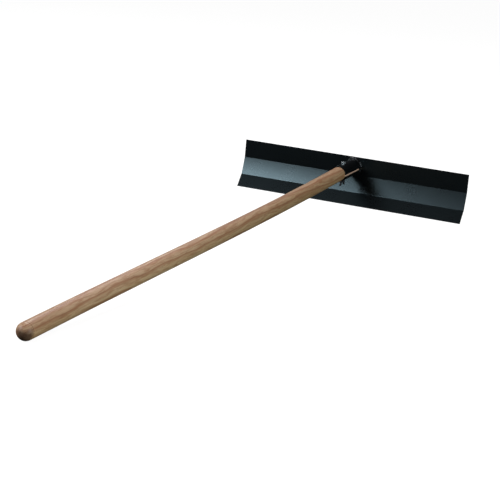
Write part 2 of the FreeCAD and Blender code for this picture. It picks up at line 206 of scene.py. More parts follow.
def bolt_frame():
    """The bolt's place on the handle's axis. +Y runs to the blade and +Z to the bolt's head."""
    turn = next(joint for joint in frame["joints"] if joint["name"] == "wing_nut_turn")
    to_blade = -Vector(GRIP["axis"]).normalized()
    up = -Vector(turn["axis"]).normalized()
    on_bolt = Vector(turn["pos_m"])
    crossing = on_bolt + up * (Vector(GRIP["pos_m"]) - on_bolt).dot(up)
    turned = Matrix((to_blade.cross(up), to_blade, up)).transposed().to_4x4()
    return Matrix.Translation(crossing) @ turned


BOLT_FRAME = bolt_frame()
TO_BOLT_FRAME = BOLT_FRAME.inverted()
# The handle is turned about its own Z axis, which points to the blade.
HANDLE_FRAME = BOLT_FRAME @ Matrix.Rotation(math.radians(-90), 4, "X")
NUT_FRAME = BOLT_FRAME @ Matrix.Rotation(math.radians(-NUT_TURN), 4, "Z")


def extent(node, axis):
    """Lowest and highest coordinate of a CAD node along an axis of the bolt's frame."""
    values = [(TO_BOLT_FRAME @ vertex.co)[axis] for vertex in frame["nodes"][node].data.vertices]
    return min(values), max(values)


# Places along the handle, from the bolt towards the blade.
HANDLE_RADIUS = GRIP["dims"]["r_mm"] / 1000
BUTT_END, BLADE_END = extent("handle", 1)
DOME_EDGE = BUTT_END + HANDLE_RADIUS
SOCKET_MOUTH = extent("socket_upper_shell", 1)[0]


def surface_tree(node):
    """A tree that finds where a ray meets a CAD node."""
    mesh = frame["nodes"][node].data
    points = [vertex.co.copy() for vertex in mesh.vertices]
    return BVHTree.FromPolygons(points, [tuple(face.vertices) for face in mesh.polygons])


BLADE_TREE = surface_tree("blade")


def blade_ahead(x, z):
    """How far the blade's front face is from the bolt, along the handle and beside its axis."""
    start = BOLT_FRAME @ Vector((x, 0, z))
    place = BLADE_TREE.ray_cast(start, BOLT_FRAME.col[1].to_3d())[0]
    return (place - start).length


# Meshes.

def grid_faces(rows, columns, rows_closed, columns_closed):
    """Quads between the points of a grid whose points are listed row by row."""
    faces = []
    for row in range(rows if rows_closed else rows - 1):
        following = (row + 1) % rows
        for column in range(columns if columns_closed else columns - 1):
            beside = (column + 1) % columns
            faces.append((
                row * columns + column,
                row * columns + beside,
                following * columns + beside,
                following * columns + column))
    return faces


def strip_cap(first, count):
    """Quads that close a thin loop of points whose two long sides are listed there and back."""
    faces = []
    for index in range(count // 2 - 1):
        faces.append((
            first + index,
            first + index + 1,
            first + count - 2 - index,
            first + count - 1 - index))
    return faces


def new_object(name, points, faces, placement):
    """A smooth-shaded mesh, moved to its place, with doubled points merged and faces outwards."""
    mesh = bpy.data.meshes.new(name)
    mesh.from_pydata(points, [], faces)
    mesh.transform(placement)
    work = bmesh.new()
    work.from_mesh(mesh)
    bmesh.ops.remove_doubles(work, verts=work.verts, dist=1e-7)
    bmesh.ops.dissolve_degenerate(work, edges=work.edges, dist=1e-8)
    bmesh.ops.recalc_face_normals(work, faces=work.faces)
    work.to_mesh(mesh)
    work.free()
    mesh.shade_smooth()
    made = bpy.data.objects.new(name, mesh)
    bpy.context.scene.collection.objects.link(made)
    return made


def loft(name, loops, placement):
    """A thin-walled piece through closed loops of points, closed at its first and last loop."""
    count = len(loops[0])
    points = [point for loop in loops for point in loop]
    faces = grid_faces(len(loops), count, False, True)
    faces += strip_cap(0, count)
    faces += strip_cap((len(loops) - 1) * count, count)
    return new_object(name, points, faces, placement)


def turned(name, outline, segments, placement, ring=False):
    """A form turned about Z. outline(angle) gives (radius, height) pairs, closed for a ring."""
    points = []
    for segment in range(segments):
        angle = 2 * math.pi * segment / segments
        for radius, height in outline(angle):
            points.append((radius * math.cos(angle), radius * math.sin(angle), height))
    rows = len(points) // segments
    return new_object(name, points, grid_faces(segments, rows, True, ring), placement)


def freeze(made):
    """Replace a mesh by what its modifiers make of it."""
    bpy.context.view_layer.update()
    shaped = made.evaluated_get(bpy.context.evaluated_depsgraph_get())
    mesh = bpy.data.meshes.new_from_object(shaped)
    made.modifiers.clear()
    made.data = mesh


def drill(made, radius):
    """Cut the bolt's hole through a piece."""
    outline = [(0, -DRILL_REACH), (radius, -DRILL_REACH), (radius, DRILL_REACH), (0, DRILL_REACH)]
    bit = turned("drill_bit", lambda angle: outline, segments=48, placement=BOLT_FRAME)
    cut = made.modifiers.new("hole", "BOOLEAN")
    cut.object = bit
    cut.operation = "DIFFERENCE"
    cut.solver = "EXACT"
    freeze(made)
    bpy.data.objects.remove(bit)
    made.data.set_sharp_from_angle(angle=math.radians(50))


def place_piece(made, material, node, body):
    """Give a piece its finish and its body, and hide a CAD node."""
    made.data.materials.clear()
    made.data.materials.append(material)
    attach(made, body)
    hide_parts(node)


def rounded_corner(corner, before, after, radius, steps):
    """Points of the arc that rounds a corner between two straight runs."""
    back = (before - corner).normalized()
    onward = (after - corner).normalized()
    half = back.angle(onward) / 2
    middle = corner + (back + onward).normalized() * (radius / math.sin(half))
    setback = radius / math.tan(half)
    first = corner + back * setback - middle
    last = corner + onward * setback - middle
    # slerp gives directions of length one.
    return [middle + radius * first.slerp(last, step / steps) for step in range(steps + 1)]


def quarter_round(radius, steps):
    """(inset, depth) pairs that round the rim of a face, from the face to the side."""
    pairs = []
    for step in range(steps + 1):
        turn = math.pi / 2 * step / steps
        pairs.append((radius * (1 - math.sin(turn)), radius * (1 - math.cos(turn))))
    return pairs


def rim_round(inset):
    """The radius that is left of a broken edge, in a section drawn in by an inset."""
    return max(EDGE_ROUND - inset, 0.1 * EDGE_ROUND)


def clamped(value):
    """The value, kept between 0 and 1."""
    return min(max(value, 0), 1)


def between(low, high, step):
    """Evenly spaced values strictly between two limits, at most a step apart."""
    count = math.ceil((high - low) / step)
    return [low + (high - low) * index / count for index in range(1, count)]


# Blade.

def blade_corners():
    """The sheet's corners in the YZ plane: the front ones down, then the rear ones back up."""
    leans = [math.radians(lean) for lean in BLADE_LEANS]
    front = [Vector((0, 0, 0))]
    for length, lean in zip(BLADE_FACETS, leans):
        front.append(front[-1] - length * Vector((0, math.sin(lean), math.cos(lean))))
    pairs = zip([leans[0]] + leans, leans + [leans[-1]])
    rear = []
    for corner, (above, below) in zip(front, pairs):
        lean = (above + below) / 2
        depth = BLADE_THICKNESS / math.cos((below - above) / 2)
        rear.append(corner + depth * Vector((0, math.cos(lean), -math.sin(lean))))
    return front + rear[::-1]


def drawn_in(corners, inset):
    """The corners of an outline moved inwards by an inset."""
    moved = []
    for index, corner in enumerate(corners):
        before = (corner - corners[index - 1]).normalized()
        after = (corners[(index + 1) % len(corners)] - corner).normalized()
        inwards = [Vector((0, -run.z, run.y)) for run in (before, after)]
        moved.append(corner + (inwards[0] + inwards[1]) * inset / (1 + inwards[0].dot(inwards[1])))
    return moved


def blade_loop(inset):
    """The sheet's rounded section, drawn in by an inset."""
    rim = rim_round(inset)
    inside = [UPPER_BEND_RADIUS + inset, LOWER_BEND_RADIUS + inset]
    outside = [radius + BLADE_THICKNESS - 2 * inset for radius in inside]
    radii = [rim, *inside, rim, rim, *outside[::-1], rim]
    corners = drawn_in(blade_corners(), inset)
    arcs = []
    for index, (corner, radius) in enumerate(zip(corners, radii)):
        following = corners[(index + 1) % len(corners)]
        arcs.append(rounded_corner(corner, corners[index - 1], following, radius, steps=6))
    facets = BLADE_FACETS + (0,) + BLADE_FACETS[::-1] + (0,)
    loop = []
    for index, (arc, facet) in enumerate(zip(arcs, facets)):
        loop += arc
        if facet:
            start = arc[-1]
            run = arcs[index + 1][0] - start
            support = EDGE_ROUND / facet
            shares = [support] + between(0, 1, FACET_STEP / facet) + [1 - support]
            loop += [start + run * share for share in shares]
    return loop


def sheet_wave(x, z, half_length, height):
    """How far the sheet is out of true. It is true along its edges."""
    calm = (1 - (x / half_length) ** 4) * math.sin(math.pi * clamped(z / height))
    # Two slices of the noise, with their waves per metre along the blade and up it.
    wave = noise.noise(Vector((9 * x, 0.3, 18 * z)))
    ripple = noise.noise(Vector((31 * x, 4.7, 40 * z)))
    return SHEET_WAVE * calm * (wave + SHEET_RIPPLE * ripple)


def facet_bow(z, low, high):
    """How far the middle facet, between two heights, is hollowed."""
    share = clamped((z - low) / (high - low))
    return 4 * FACET_BOW * share * (1 - share)


def make_blade(material):
    """The folded sheet, from one rounded end to the other."""
    low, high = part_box("blade")
    rounding = quarter_round(EDGE_ROUND, steps=4)
    stations = [(high.x - depth, inset) for inset, depth in rounding]
    inner = high.x - EDGE_ROUND
    stations += [(x, 0) for x in [inner - EDGE_ROUND] + between(0, inner, LENGTH_STEP)[::-1]]
    stations += [(0, 0)] + [(-x, inset) for x, inset in reversed(stations)]
    section = blade_loop(0)
    shift_y = low.y - min(point.y for point in section)
    shift_z = low.z - min(point.z for point in section)
    bends = [corner.z + shift_z for corner in blade_corners()[1:3]]
    loops = []
    for x, inset in stations:
        loop = []
        for point in blade_loop(inset):
            z = point.z + shift_z
            y = point.y + shift_y + sheet_wave(x, z, high.x, high.z)
            y += facet_bow(z, bends[1], bends[0])
            loop.append(Vector((x, y, z)))
        loops.append(loop)
    blade = loft("blade_sheet", loops, Matrix.Identity(4))
    place_piece(blade, material, "blade", "tool")


# Socket.

def half_ring(inner, outer, edge, side, inset):
    """The section of one half of the socket: the outer arc, then the inner one back."""
    inner += inset
    outer -= inset
    edge += inset
    ends = {}
    for radius in (inner, outer):
        ends[radius] = Vector((math.sqrt(radius ** 2 - edge ** 2), 0, edge))

    def side_points(radius, other):
        """One arc from the right slit face to the left one, with its rounded corners."""
        corner = ends[radius]
        start = math.asin(edge / radius) + 2.5 * EDGE_ROUND / radius
        angles = [start + (math.pi - 2 * start) * step / SHELL_ARC_POINTS
                  for step in range(SHELL_ARC_POINTS + 1)]
        arc = [Vector((radius * math.cos(a), 0, radius * math.sin(a))) for a in angles]
        right = rounded_corner(corner, ends[other], arc[0], rim_round(inset), steps=4)
        left = [Vector((-point.x, 0, point.z)) for point in reversed(right)]
        return right + arc + left

    loop = side_points(outer, inner) + side_points(inner, outer)[::-1]
    return [Vector((point.x, 0, side * point.z)) for point in loop]


def make_shell(name, node, side, edge, material):
    """Half of the socket, above the slit for side 1 and below it for side -1."""
    outer = abs(extent(node, 2)[0 if side < 0 else 1])
    inner = outer - SHELL_THICKNESS
    mouth = extent(node, 1)[0]
    loops = []
    for inset, depth in quarter_round(EDGE_ROUND, steps=4):
        section = half_ring(inner, outer, edge, side, inset)
        loops.append([Vector((point.x, mouth + depth, point.z)) for point in section])
    section = half_ring(inner, outer, edge, side, 0)
    fronts = [blade_ahead(point.x, point.z) for point in section]
    rows = math.ceil((max(fronts) - mouth) / SHELL_STEP)
    start = mouth + 2 * EDGE_ROUND
    for row in range(rows + 1):
        share = row / rows
        loops.append([
            Vector((point.x, start + (front - start) * share, point.z))
            for point, front in zip(section, fronts)])
    shell = loft(name, loops, BOLT_FRAME)
    drill(shell, BOLT_HOLE_RADIUS)
    place_piece(shell, material, node, "tool")


def weld_leg_share(phase, swells):
    """The share of the bead's leg at a place along it, which is counted in ripples."""
    before = swells[int(phase)]
    swell = before + (swells[int(phase) + 1] - before) * (phase % 1)
    ripple = 0.5 + 0.5 * math.cos(2 * math.pi * phase)
    return 1 - WELD_RIPPLE * (ripple + WELD_SWELL * swell)


def make_weld(name, node, side, edge, seed, material):
    """A rippled fillet bead along half of the socket's foot."""
    outer = abs(extent("socket_upper_shell", 2)[1])
    draw = random.Random(seed)
    swells = [draw.uniform(-0.5, 0.5) for _ in range(WELD_SWELLS)]
    start = math.asin(edge / outer) + WELD_END_GAP / outer

    def place(angle, radius, rise):
        """A point round the socket, at a rise from the blade's face."""
        x = radius * math.cos(angle)
        z = side * radius * math.sin(angle)
        return Vector((x, blade_ahead(x, z) - rise, z))

    loops = []
    for step in range(WELD_STEPS + 1):
        share = step / WELD_STEPS
        angle = start + (math.pi - 2 * start) * share
        from_end = min(share, 1 - share) * (math.pi - 2 * start) * outer
        # The bead swells from half its leg at its ends to all of it.
        taper = math.sqrt(min(1, 0.25 + 0.75 * from_end / (WELD_TAPER * WELD_LEG)))
        loop = []
        for turn_step in range(WELD_SECTION_STEPS + 1):
            turn = math.pi / 2 * turn_step / WELD_SECTION_STEPS
            # Each ripple is curved, and lags behind in the middle of the bead's face.
            phase = angle * outer / WELD_PITCH - WELD_RIPPLE_LAG * math.sin(2 * turn) + 2
            leg = WELD_LEG * taper * weld_leg_share(phase, swells)
            crown = 1 - WELD_HOLLOW * math.sin(2 * turn)
            out = leg * math.sin(turn) * crown
            rise = leg * math.cos(turn) * crown
            loop.append(place(angle, outer + out, rise))
        loop.append(place(angle, outer + WELD_LEG * taper * 0.9, -WELD_SUNK))
        loop.append(place(angle, outer - 0.5 * SHELL_THICKNESS, -WELD_SUNK))
        loop.append(place(angle, outer - 0.5 * SHELL_THICKNESS, 0.9 * WELD_LEG * taper))
        loops.append(loop)
    count = len(loops[0])
    points = [point for loop in loops for point in loop]
    faces = grid_faces(len(loops), count, False, True)
    faces.append(tuple(range(count)))
    faces.append(tuple(range((len(loops) - 1) * count, len(loops) * count)))
    bead = new_object(name, points, faces, BOLT_FRAME)
    place_piece(bead, material, node, "tool")


# Handle.

def handle_outline():
    """(radius, place along the handle) pairs, from the butt to the blade."""
    neck = HANDLE_RADIUS - SQUEEZE
    pairs = []
    for step in range(DOME_STEPS):
        turn = math.pi / 2 * step / DOME_STEPS
        pairs.append((HANDLE_RADIUS * math.sin(turn), DOME_EDGE - HANDLE_RADIUS * math.cos(turn)))
    for step in range(GROOVE_STEPS + 1):
        share = step / GROOVE_STEPS
        dip = BUTT_GROOVE_DEPTH * math.sin(math.pi * share) ** 1.5
        pairs.append((HANDLE_RADIUS - dip, DOME_EDGE + 1.6 * BUTT_GROOVE * share))
    start = DOME_EDGE + 3 * BUTT_GROOVE
    stop = SOCKET_MOUTH - SQUEEZE_LEAD
    pairs += [(HANDLE_RADIUS, y) for y in [start] + between(start, stop, HANDLE_STEP) + [stop]]
    pairs += [(neck, y) for y in [SOCKET_MOUTH - 0.5 * SQUEEZE_LEAD, SOCKET_MOUTH]]
    shoulder = BLADE_END - HANDLE_CHAMFER
    pairs += [(neck, y) for y in between(SOCKET_MOUTH, shoulder, HANDLE_STEP) + [shoulder]]
    pairs += [(neck - HANDLE_CHAMFER, BLADE_END), (0.5 * neck, BLADE_END), (0, BLADE_END)]
    return pairs


def make_handle(material):
    """The turned pole, slightly out of round and bowed down between its ends."""
    pairs = handle_outline()

    def outline(angle):
        """The outline at an angle round the handle."""
        around = Vector((math.cos(angle), math.sin(angle), 0))
        wavered = []
        for radius, y in pairs:
            free = clamped((SOCKET_MOUTH - y) / WAVER_FADE)
            waver = noise.noise(around + Vector((0, 0, 9 * y))) - 0.5
            if radius:
                radius = max(radius + HANDLE_WAVER * free * waver, 0)
            wavered.append((radius, y))
        return wavered

    handle = turned("wood_handle", outline, HANDLE_SEGMENTS, HANDLE_FRAME)
    drill(handle, BOLT_HOLE_RADIUS)
    for vertex in handle.data.vertices:
        place = TO_BOLT_FRAME @ vertex.co
        share = clamped((place.y - BUTT_END) / (SOCKET_MOUTH - BUTT_END))
        # 27 / 4 makes the bow 1 where it is deepest, two thirds of the way to the socket.
        place.z -= HANDLE_SAG * share ** 2 * (1 - share) * 27 / 4
        vertex.co = BOLT_FRAME @ place
    place_piece(handle, material, "handle", "tool")


# Bolt, washers and wing nut.

def rounded_ring(inner, outer, low, high, rounding):
    """The closed outline of a flat ring with rounded rims."""
    corners = [(inner, low), (outer, low), (outer, high), (inner, high)]
    points = [Vector((radius, 0, height)) for radius, height in corners]
    outline = []
    for index, point in enumerate(points):
        arc = rounded_corner(
            point, points[index - 1], points[(index + 1) % 4], rounding, steps=4)
        outline += [(place.x, place.z) for place in arc]
    return outline


def make_washer(name, node, body, material):
    """A flat washer round the bolt."""
    low, high = extent(node, 2)
    outline = rounded_ring(WASHER_HOLE_RADIUS, WASHER_RADIUS, low, high, WASHER_ROUND)
    washer = turned(
        name, lambda angle: outline, segments=64, placement=BOLT_FRAME, ring=True)
    place_piece(washer, material, node, body)


def make_bolt(material):
    """The threaded bolt with its hexagon head."""
    tip, top = extent("clamp_bolt", 2)
    seat = top - HEAD_HEIGHT
    thread_top = tip + THREAD_LENGTH
    flat_radius = HEAD_ACROSS_FLATS / 2
    bevel_slope = math.tan(math.radians(HEAD_BEVEL))
    rows = int(THREAD_LENGTH / THREAD_PITCH * THREAD_ROWS_PER_TURN)

    def outline(angle):
        """The bolt's section at an angle, from its tip up to its head."""
        pairs = [(0, tip)]
        for row in range(rows + 1):
            height = tip + THREAD_LENGTH * row / rows
            phase = (height / THREAD_PITCH - angle / (2 * math.pi)) % 1
            # The thread has flat crests and roots, and runs out into the chamfer and the shank.
            flank = clamped(1.6 * abs(2 * phase - 1) - 0.3)
            depth = THREAD_DEPTH * (1 - flank)
            runout = min(1, (thread_top - height) / (2 * THREAD_PITCH))
            chamfer = max(0, BOLT_CHAMFER - (height - tip))
            pairs.append((BOLT_RADIUS - max(depth * runout, chamfer), height))
        pairs.append((BOLT_RADIUS, seat))
        # The head is a hexagon with two corners on the X axis, its top corners turned off.
        off_flat = (angle % math.radians(60)) - math.radians(30)
        side = flat_radius / math.cos(off_flat)
        edge = top - (side - 0.95 * flat_radius) * bevel_slope
        pairs += [
            (0.94 * flat_radius, seat),
            (0.97 * side, seat + 0.5 * HEAD_EDGE_ROUND),
            (side, seat + 2 * HEAD_EDGE_ROUND),
            (side, edge - HEAD_EDGE_ROUND),
            (side - 0.3 * HEAD_EDGE_ROUND, edge),
            (side - 1.3 * HEAD_EDGE_ROUND, edge + 1.3 * HEAD_EDGE_ROUND * bevel_slope),
            (0.95 * flat_radius, top),
            (0.9 * flat_radius, top),
            (0.6 * flat_radius, top - HEAD_DISH),
            (0, top - HEAD_DISH),
        ]
        return pairs

    bolt = turned("hex_bolt", outline, segments=72, placement=BOLT_FRAME)
    bolt.data.set_sharp_from_angle(angle=math.radians(28))
    place_piece(bolt, material, "clamp_bolt", "tool")


def wing_outline(top):
    """One wing's outline in the YZ plane, from its root out to its tip and back."""
    tip = top - WING_REACH
    corners = [
        Vector((0, WING_SUNK * HUB_RADIUS, top - WING_START)),
        Vector((0, HUB_RADIUS, top - WING_START)),
        Vector((0, WING_SPAN / 2, tip + WING_REACH / 2)),
        Vector((0, WING_SPAN / 2, tip)),
        Vector((0, WING_SPAN / 2 - WING_WIDTH, tip)),
        Vector((0, HUB_TIP_RADIUS, top - HUB_HEIGHT + WING_FOOT)),
        Vector((0, WING_SUNK * HUB_RADIUS, top - HUB_HEIGHT + WING_FOOT_SUNK)),
    ]
    radii = [
        0,
        WING_ROOT_RADIUS,
        WING_BACK_RADIUS,
        WING_TIP_RADIUS,
        WING_TIP_RADIUS,
        WING_ROOT_RADIUS,
        0,
    ]
    outline = []
    for index, (corner, radius) in enumerate(zip(corners, radii)):
        if radius:
            following = corners[(index + 1) % len(corners)]
            outline += rounded_corner(corner, corners[index - 1], following, radius, steps=6)
        else:
            outline.append(corner)
    return outline


def add_wing(work, side, top):
    """Add the wing on one side of the hub, thinner towards its tip, to a mesh."""
    faces = []
    for half in (1, -1):
        verts = []
        for place in wing_outline(top):
            out = (place.y - HUB_TIP_RADIUS) / (WING_SPAN / 2 - HUB_TIP_RADIUS)
            thickness = WING_ROOT_THICKNESS
            thickness += (WING_TIP_THICKNESS - WING_ROOT_THICKNESS) * clamped(out)
            point = Vector((half * thickness / 2, side * place.y, place.z))
            verts.append(work.verts.new(NUT_FRAME @ point))
        faces.append(verts)
    near, far = faces
    work.faces.new(near)
    work.faces.new(far[::-1])
    for index in range(len(near)):
        beside = (index + 1) % len(near)
        work.faces.new((near[index], far[index], far[beside], near[beside]))


def make_wing_nut(material):
    """A hub with two wings, melted into one casting."""
    top = extent("wing_nut", 2)[1]
    low = top - HUB_HEIGHT
    hub_outline = [
        (NUT_HOLE_RADIUS, low),
        (HUB_TIP_RADIUS, low),
        (HUB_RADIUS, top - HUB_RIM),
        (HUB_RADIUS, top),
        (NUT_HOLE_RADIUS, top),
    ]
    hub = turned(
        "cast_wing_nut", lambda angle: hub_outline, segments=64, placement=NUT_FRAME, ring=True)
    work = bmesh.new()
    work.from_mesh(hub.data)
    for side in (1, -1):
        add_wing(work, side, top)
    bmesh.ops.recalc_face_normals(work, faces=work.faces)
    work.to_mesh(hub.data)
    work.free()
    cast = hub.modifiers.new("cast", "REMESH")
    cast.mode = "VOXEL"
    cast.voxel_size = CAST_VOXEL
    soften = hub.modifiers.new("soften", "SMOOTH")
    soften.factor = CAST_SMOOTHING
    soften.iterations = CAST_SMOOTHING_ROUNDS
    freeze(hub)
    hub.data.shade_smooth()
    place_piece(hub, material, "wing_nut", "wing_nut")


# Materials.

class Finish:
    """A procedural material, built node by node."""

    def __init__(self, name, roughness, metallic=0.0, specular=0.5, tint=(1, 1, 1),
                 placement=Matrix.Identity(4)):
        self.material = bpy.data.materials.new(name)
        self.material.use_nodes = True
        self.tree = self.material.node_tree
        self.shader = self.tree.nodes["Principled BSDF"]
        self.shader.inputs["Roughness"].default_value = roughness
        self.shader.inputs["Metallic"].default_value = metallic
        self.shader.inputs["Specular IOR Level"].default_value = specular
        self.shader.inputs["Specular Tint"].default_value = (*tint, 1)
        # The pattern is laid out in the frame that placement gives.
        inverse = placement.inverted()
        self.place = self.node(
            "ShaderNodeMapping",
            {"Location": inverse.to_translation(), "Rotation": inverse.to_euler()},
            {"Vector": self.node("ShaderNodeTexCoord").outputs["Object"]}).outputs["Vector"]

    def node(self, kind, values=None, links=None, **settings):
        """A node with its settings, its sockets' values and what feeds them."""
        made = self.tree.nodes.new(kind)
        for name, value in settings.items():
            setattr(made, name, value)
        for socket, value in (values or {}).items():
            made.inputs[socket].default_value = value
        for socket, source in (links or {}).items():
            self.tree.links.new(source, made.inputs[socket])
        return made

    def stretched(self, scale):
        """The pattern's coordinates, scaled along each axis to cells per metre."""
        return self.node(
            "ShaderNodeMapping", {"Scale": scale}, {"Vector": self.place}).outputs["Vector"]

    def noise(self, scale, detail, roughness=0.5):
        """Noise with a number of cells per metre, the same or different along each axis."""
        if not isinstance(scale, tuple):
            scale = (scale, scale, scale)
        values = {"Scale": 1.0, "Detail": detail, "Roughness": roughness}
        return self.node(
            "ShaderNodeTexNoise", values, {"Vector": self.stretched(scale)}).outputs["Fac"]

    def maths(self, operation, first, second=0.0, third=0.0):
        """A sum on numbers or on other nodes' outputs."""
        made = self.node("ShaderNodeMath", operation=operation)
        for index, term in enumerate((first, second, third)):
            if isinstance(term, (int, float)):
                made.inputs[index].default_value = term
            else:
                self.tree.links.new(term, made.inputs[index])
        return made.outputs["Value"]

    def ranged(self, source, span, onto=(0.0, 1.0)):
        """A value moved from one span of values onto another, and kept inside that."""
        values = {"From Min": span[0], "From Max": span[1], "To Min": onto[0], "To Max": onto[1]}
        return self.node("ShaderNodeMapRange", values, {"Value": source}).outputs["Result"]

    def ramp(self, source, stops):
        """Colours along a value, as (place, colour) stops."""
        made = self.node("ShaderNodeValToRGB", links={"Fac": source})
        elements = made.color_ramp.elements
        while len(elements) < len(stops):
            elements.new(0.5)
        for element, (place, colour) in zip(elements, stops):
            element.position = place
            element.color = (*colour, 1)
        return made.outputs["Color"]

    def mixed(self, share, first, second, blend="MIX"):
        """Two colours mixed by a value. Each is a colour or another node's output."""
        made = self.node("ShaderNodeMix", data_type="RGBA", blend_type=blend)
        for index, term in ((0, share), (6, first), (7, second)):
            if isinstance(term, (int, float)):
                made.inputs[index].default_value = term
            elif isinstance(term, tuple):
                made.inputs[index].default_value = (*term, 1)
            else:
                self.tree.links.new(term, made.inputs[index])
        return made.outputs[2]

    def bump(self, height, depth, below=None):
        """Relief of a depth in metres, laid on the relief below it."""
        links = {"Height": height}
        if below is not None:
            links["Normal"] = below
        values = {"Distance": depth, "Strength": 1.0}
        return self.node("ShaderNodeBump", values, links).outputs["Normal"]

    def apply(self, colour, roughness, normal):
        """Feed the shader."""
        for socket, source in (("Base Color", colour), ("Roughness", roughness), ("Normal", normal)):
            self.tree.links.new(source, self.shader.inputs[socket])
        return self.material


def black_paint(name, specular):
    """Satin black powder coat: a fine orange-peel skin, cloudy gloss and a few pale specks."""
    finish = Finish(name, COAT_ROUGHNESS, specular=specular, tint=COAT_TINT)
    clouds = finish.noise(26.0, detail=3.0)
    peel = finish.noise(420.0, detail=2.0)
    grit = finish.noise(1900.0, detail=1.0)
    tone = finish.mixed(clouds, COAT_DARK, COAT_PALE)
    specks = finish.ranged(grit, (0.74, 0.82), onto=(0.0, 0.4))
    colour = finish.mixed(specks, tone, COAT_SPECK)
    half = COAT_UNEVENNESS / 2
    gloss = finish.maths("MULTIPLY_ADD", clouds, COAT_UNEVENNESS, COAT_ROUGHNESS - half)
    gloss = finish.maths("SUBTRACT", gloss, half)
    gloss = finish.maths("MULTIPLY_ADD", peel, COAT_UNEVENNESS, gloss)
    return finish.apply(colour, gloss, finish.bump(peel, COAT_PEEL_DEPTH))


def weld_paint():
    """The same coat over a weld, where it lies thicker and shinier, with burnt grit in it."""
    finish = Finish("painted_weld", roughness=0.45, specular=0.22, tint=WELD_TINT)
    grit = finish.noise(900.0, detail=3.0)
    tone = finish.mixed(grit, WELD_DARK, WELD_PALE)
    gloss = finish.maths("MULTIPLY_ADD", grit, 0.16, 0.12)
    return finish.apply(tone, gloss, finish.bump(grit, WELD_GRIT_DEPTH))


def wood_rings(finish, across, waver):
    """The wood's colour from its broad and its thin growth rings, cut lengthwise."""
    slow = finish.noise((14.0, 14.0, 2.6), detail=2.0)
    drift = finish.maths("MULTIPLY_ADD", finish.maths("SUBTRACT", slow, 0.5), SLOW_DRIFT, across)
    drift = finish.maths("MULTIPLY_ADD", waver, QUICK_DRIFT, drift)
    ring = finish.maths(
        "FRACT", finish.maths("MULTIPLY_ADD", drift, 1 / RING_SPACING, RING_SHIFT))
    fine = finish.maths("MULTIPLY_ADD", waver, FINE_DRIFT, drift)
    fine = finish.maths("PINGPONG", fine, FINE_RING_HALF)
    fine = finish.ranged(fine, (0.0, FINE_RING_WIDTH), onto=(0.62, 0.0))
    return finish.mixed(fine, finish.ramp(ring, RING_COLOURS), FINE_RING_COLOUR)


def wood_marks(finish, tone, fibres, fleck_share):
    """The colour with fibres, short dark flecks, stains and reddish streaks over it."""
    tone = finish.mixed(1.0, tone, finish.ramp(fibres, FIBRE_SHADES), blend="MULTIPLY")
    tone = finish.mixed(fleck_share, tone, FLECK_COLOUR)
    stains = finish.noise((90.0, 90.0, 30.0), detail=3.0)
    stains = finish.ranged(stains, (0.60, 0.80), onto=(0.0, 0.30))
    tone = finish.mixed(stains, tone, STAIN_COLOUR)
    streaks = finish.noise((230.0, 230.0, 40.0), detail=3.0, roughness=0.65)
    streaks = finish.ranged(streaks, (0.50, 0.68), onto=(0.0, 0.75))
    return finish.mixed(streaks, tone, STREAK_COLOUR)


def wood_tints_and_slit_light(finish, tone, across, along):
    """The colour, tinted below and at its ends, with painted light in the socket. along is 0 at the bolt."""
    # Towards the side that lies lower the wood turns from pinkish to olive.
    olive = finish.ranged(across, (-0.014, 0.006), onto=(1.0, 0.0))
    tone = finish.mixed(olive, tone, OLIVE_TINT, blend="MULTIPLY")
    # It is darker towards the socket, and at the butt.
    towards_socket = finish.ranged(along, (-0.80, -0.25))
    tone = finish.mixed(towards_socket, tone, SOCKET_END_TINT, blend="MULTIPLY")
    at_butt = finish.ranged(along, (-1.09, -1.01), onto=(1.0, 0.0))
    tone = finish.mixed(at_butt, tone, BUTT_END_TINT, blend="MULTIPLY")
    # In the socket the wood is painted paler: painted light that brightens it where it shows in the shaded slit.
    painted_slit_light = finish.ranged(along, (SOCKET_MOUTH, SOCKET_MOUTH + 0.002), onto=(0.0, 0.6))
    return finish.mixed(painted_slit_light, tone, PAINTED_SLIT_LIGHT_COLOUR)


def wood_shade_and_grime(finish, parts, quick):
    """Painted shade in the butt's groove, and a dark patch on the dome's lower side that is partly grime and
    partly painted shade.
    """
    # Painted shade darkens the groove.
    from_groove = finish.maths(
        "ABSOLUTE", finish.maths("SUBTRACT", parts["Z"], DOME_EDGE + 0.8 * BUTT_GROOVE))
    in_groove = finish.ranged(
        from_groove, (0.4 * BUTT_GROOVE, 1.1 * BUTT_GROOVE), onto=(0.30, 0.0))
    # The patch of grime and painted shade ends in an uneven line above, and fades to one side and towards the
    # groove.
    height = finish.maths("MULTIPLY_ADD", quick, 0.012, parts["Y"])
    below = finish.ranged(height, (-0.0035, 0.0035), onto=(0.0, 0.88))
    aside = finish.ranged(parts["X"], (-0.0100, -0.0020), onto=(0.25, 1.0))
    on_dome = finish.ranged(parts["Z"], (DOME_EDGE - 0.006, DOME_EDGE + 0.002), onto=(1.0, 0.0))
    patch = finish.maths("MULTIPLY", finish.maths("MULTIPLY", below, aside), on_dome)
    return finish.maths("MAXIMUM", in_groove, patch)


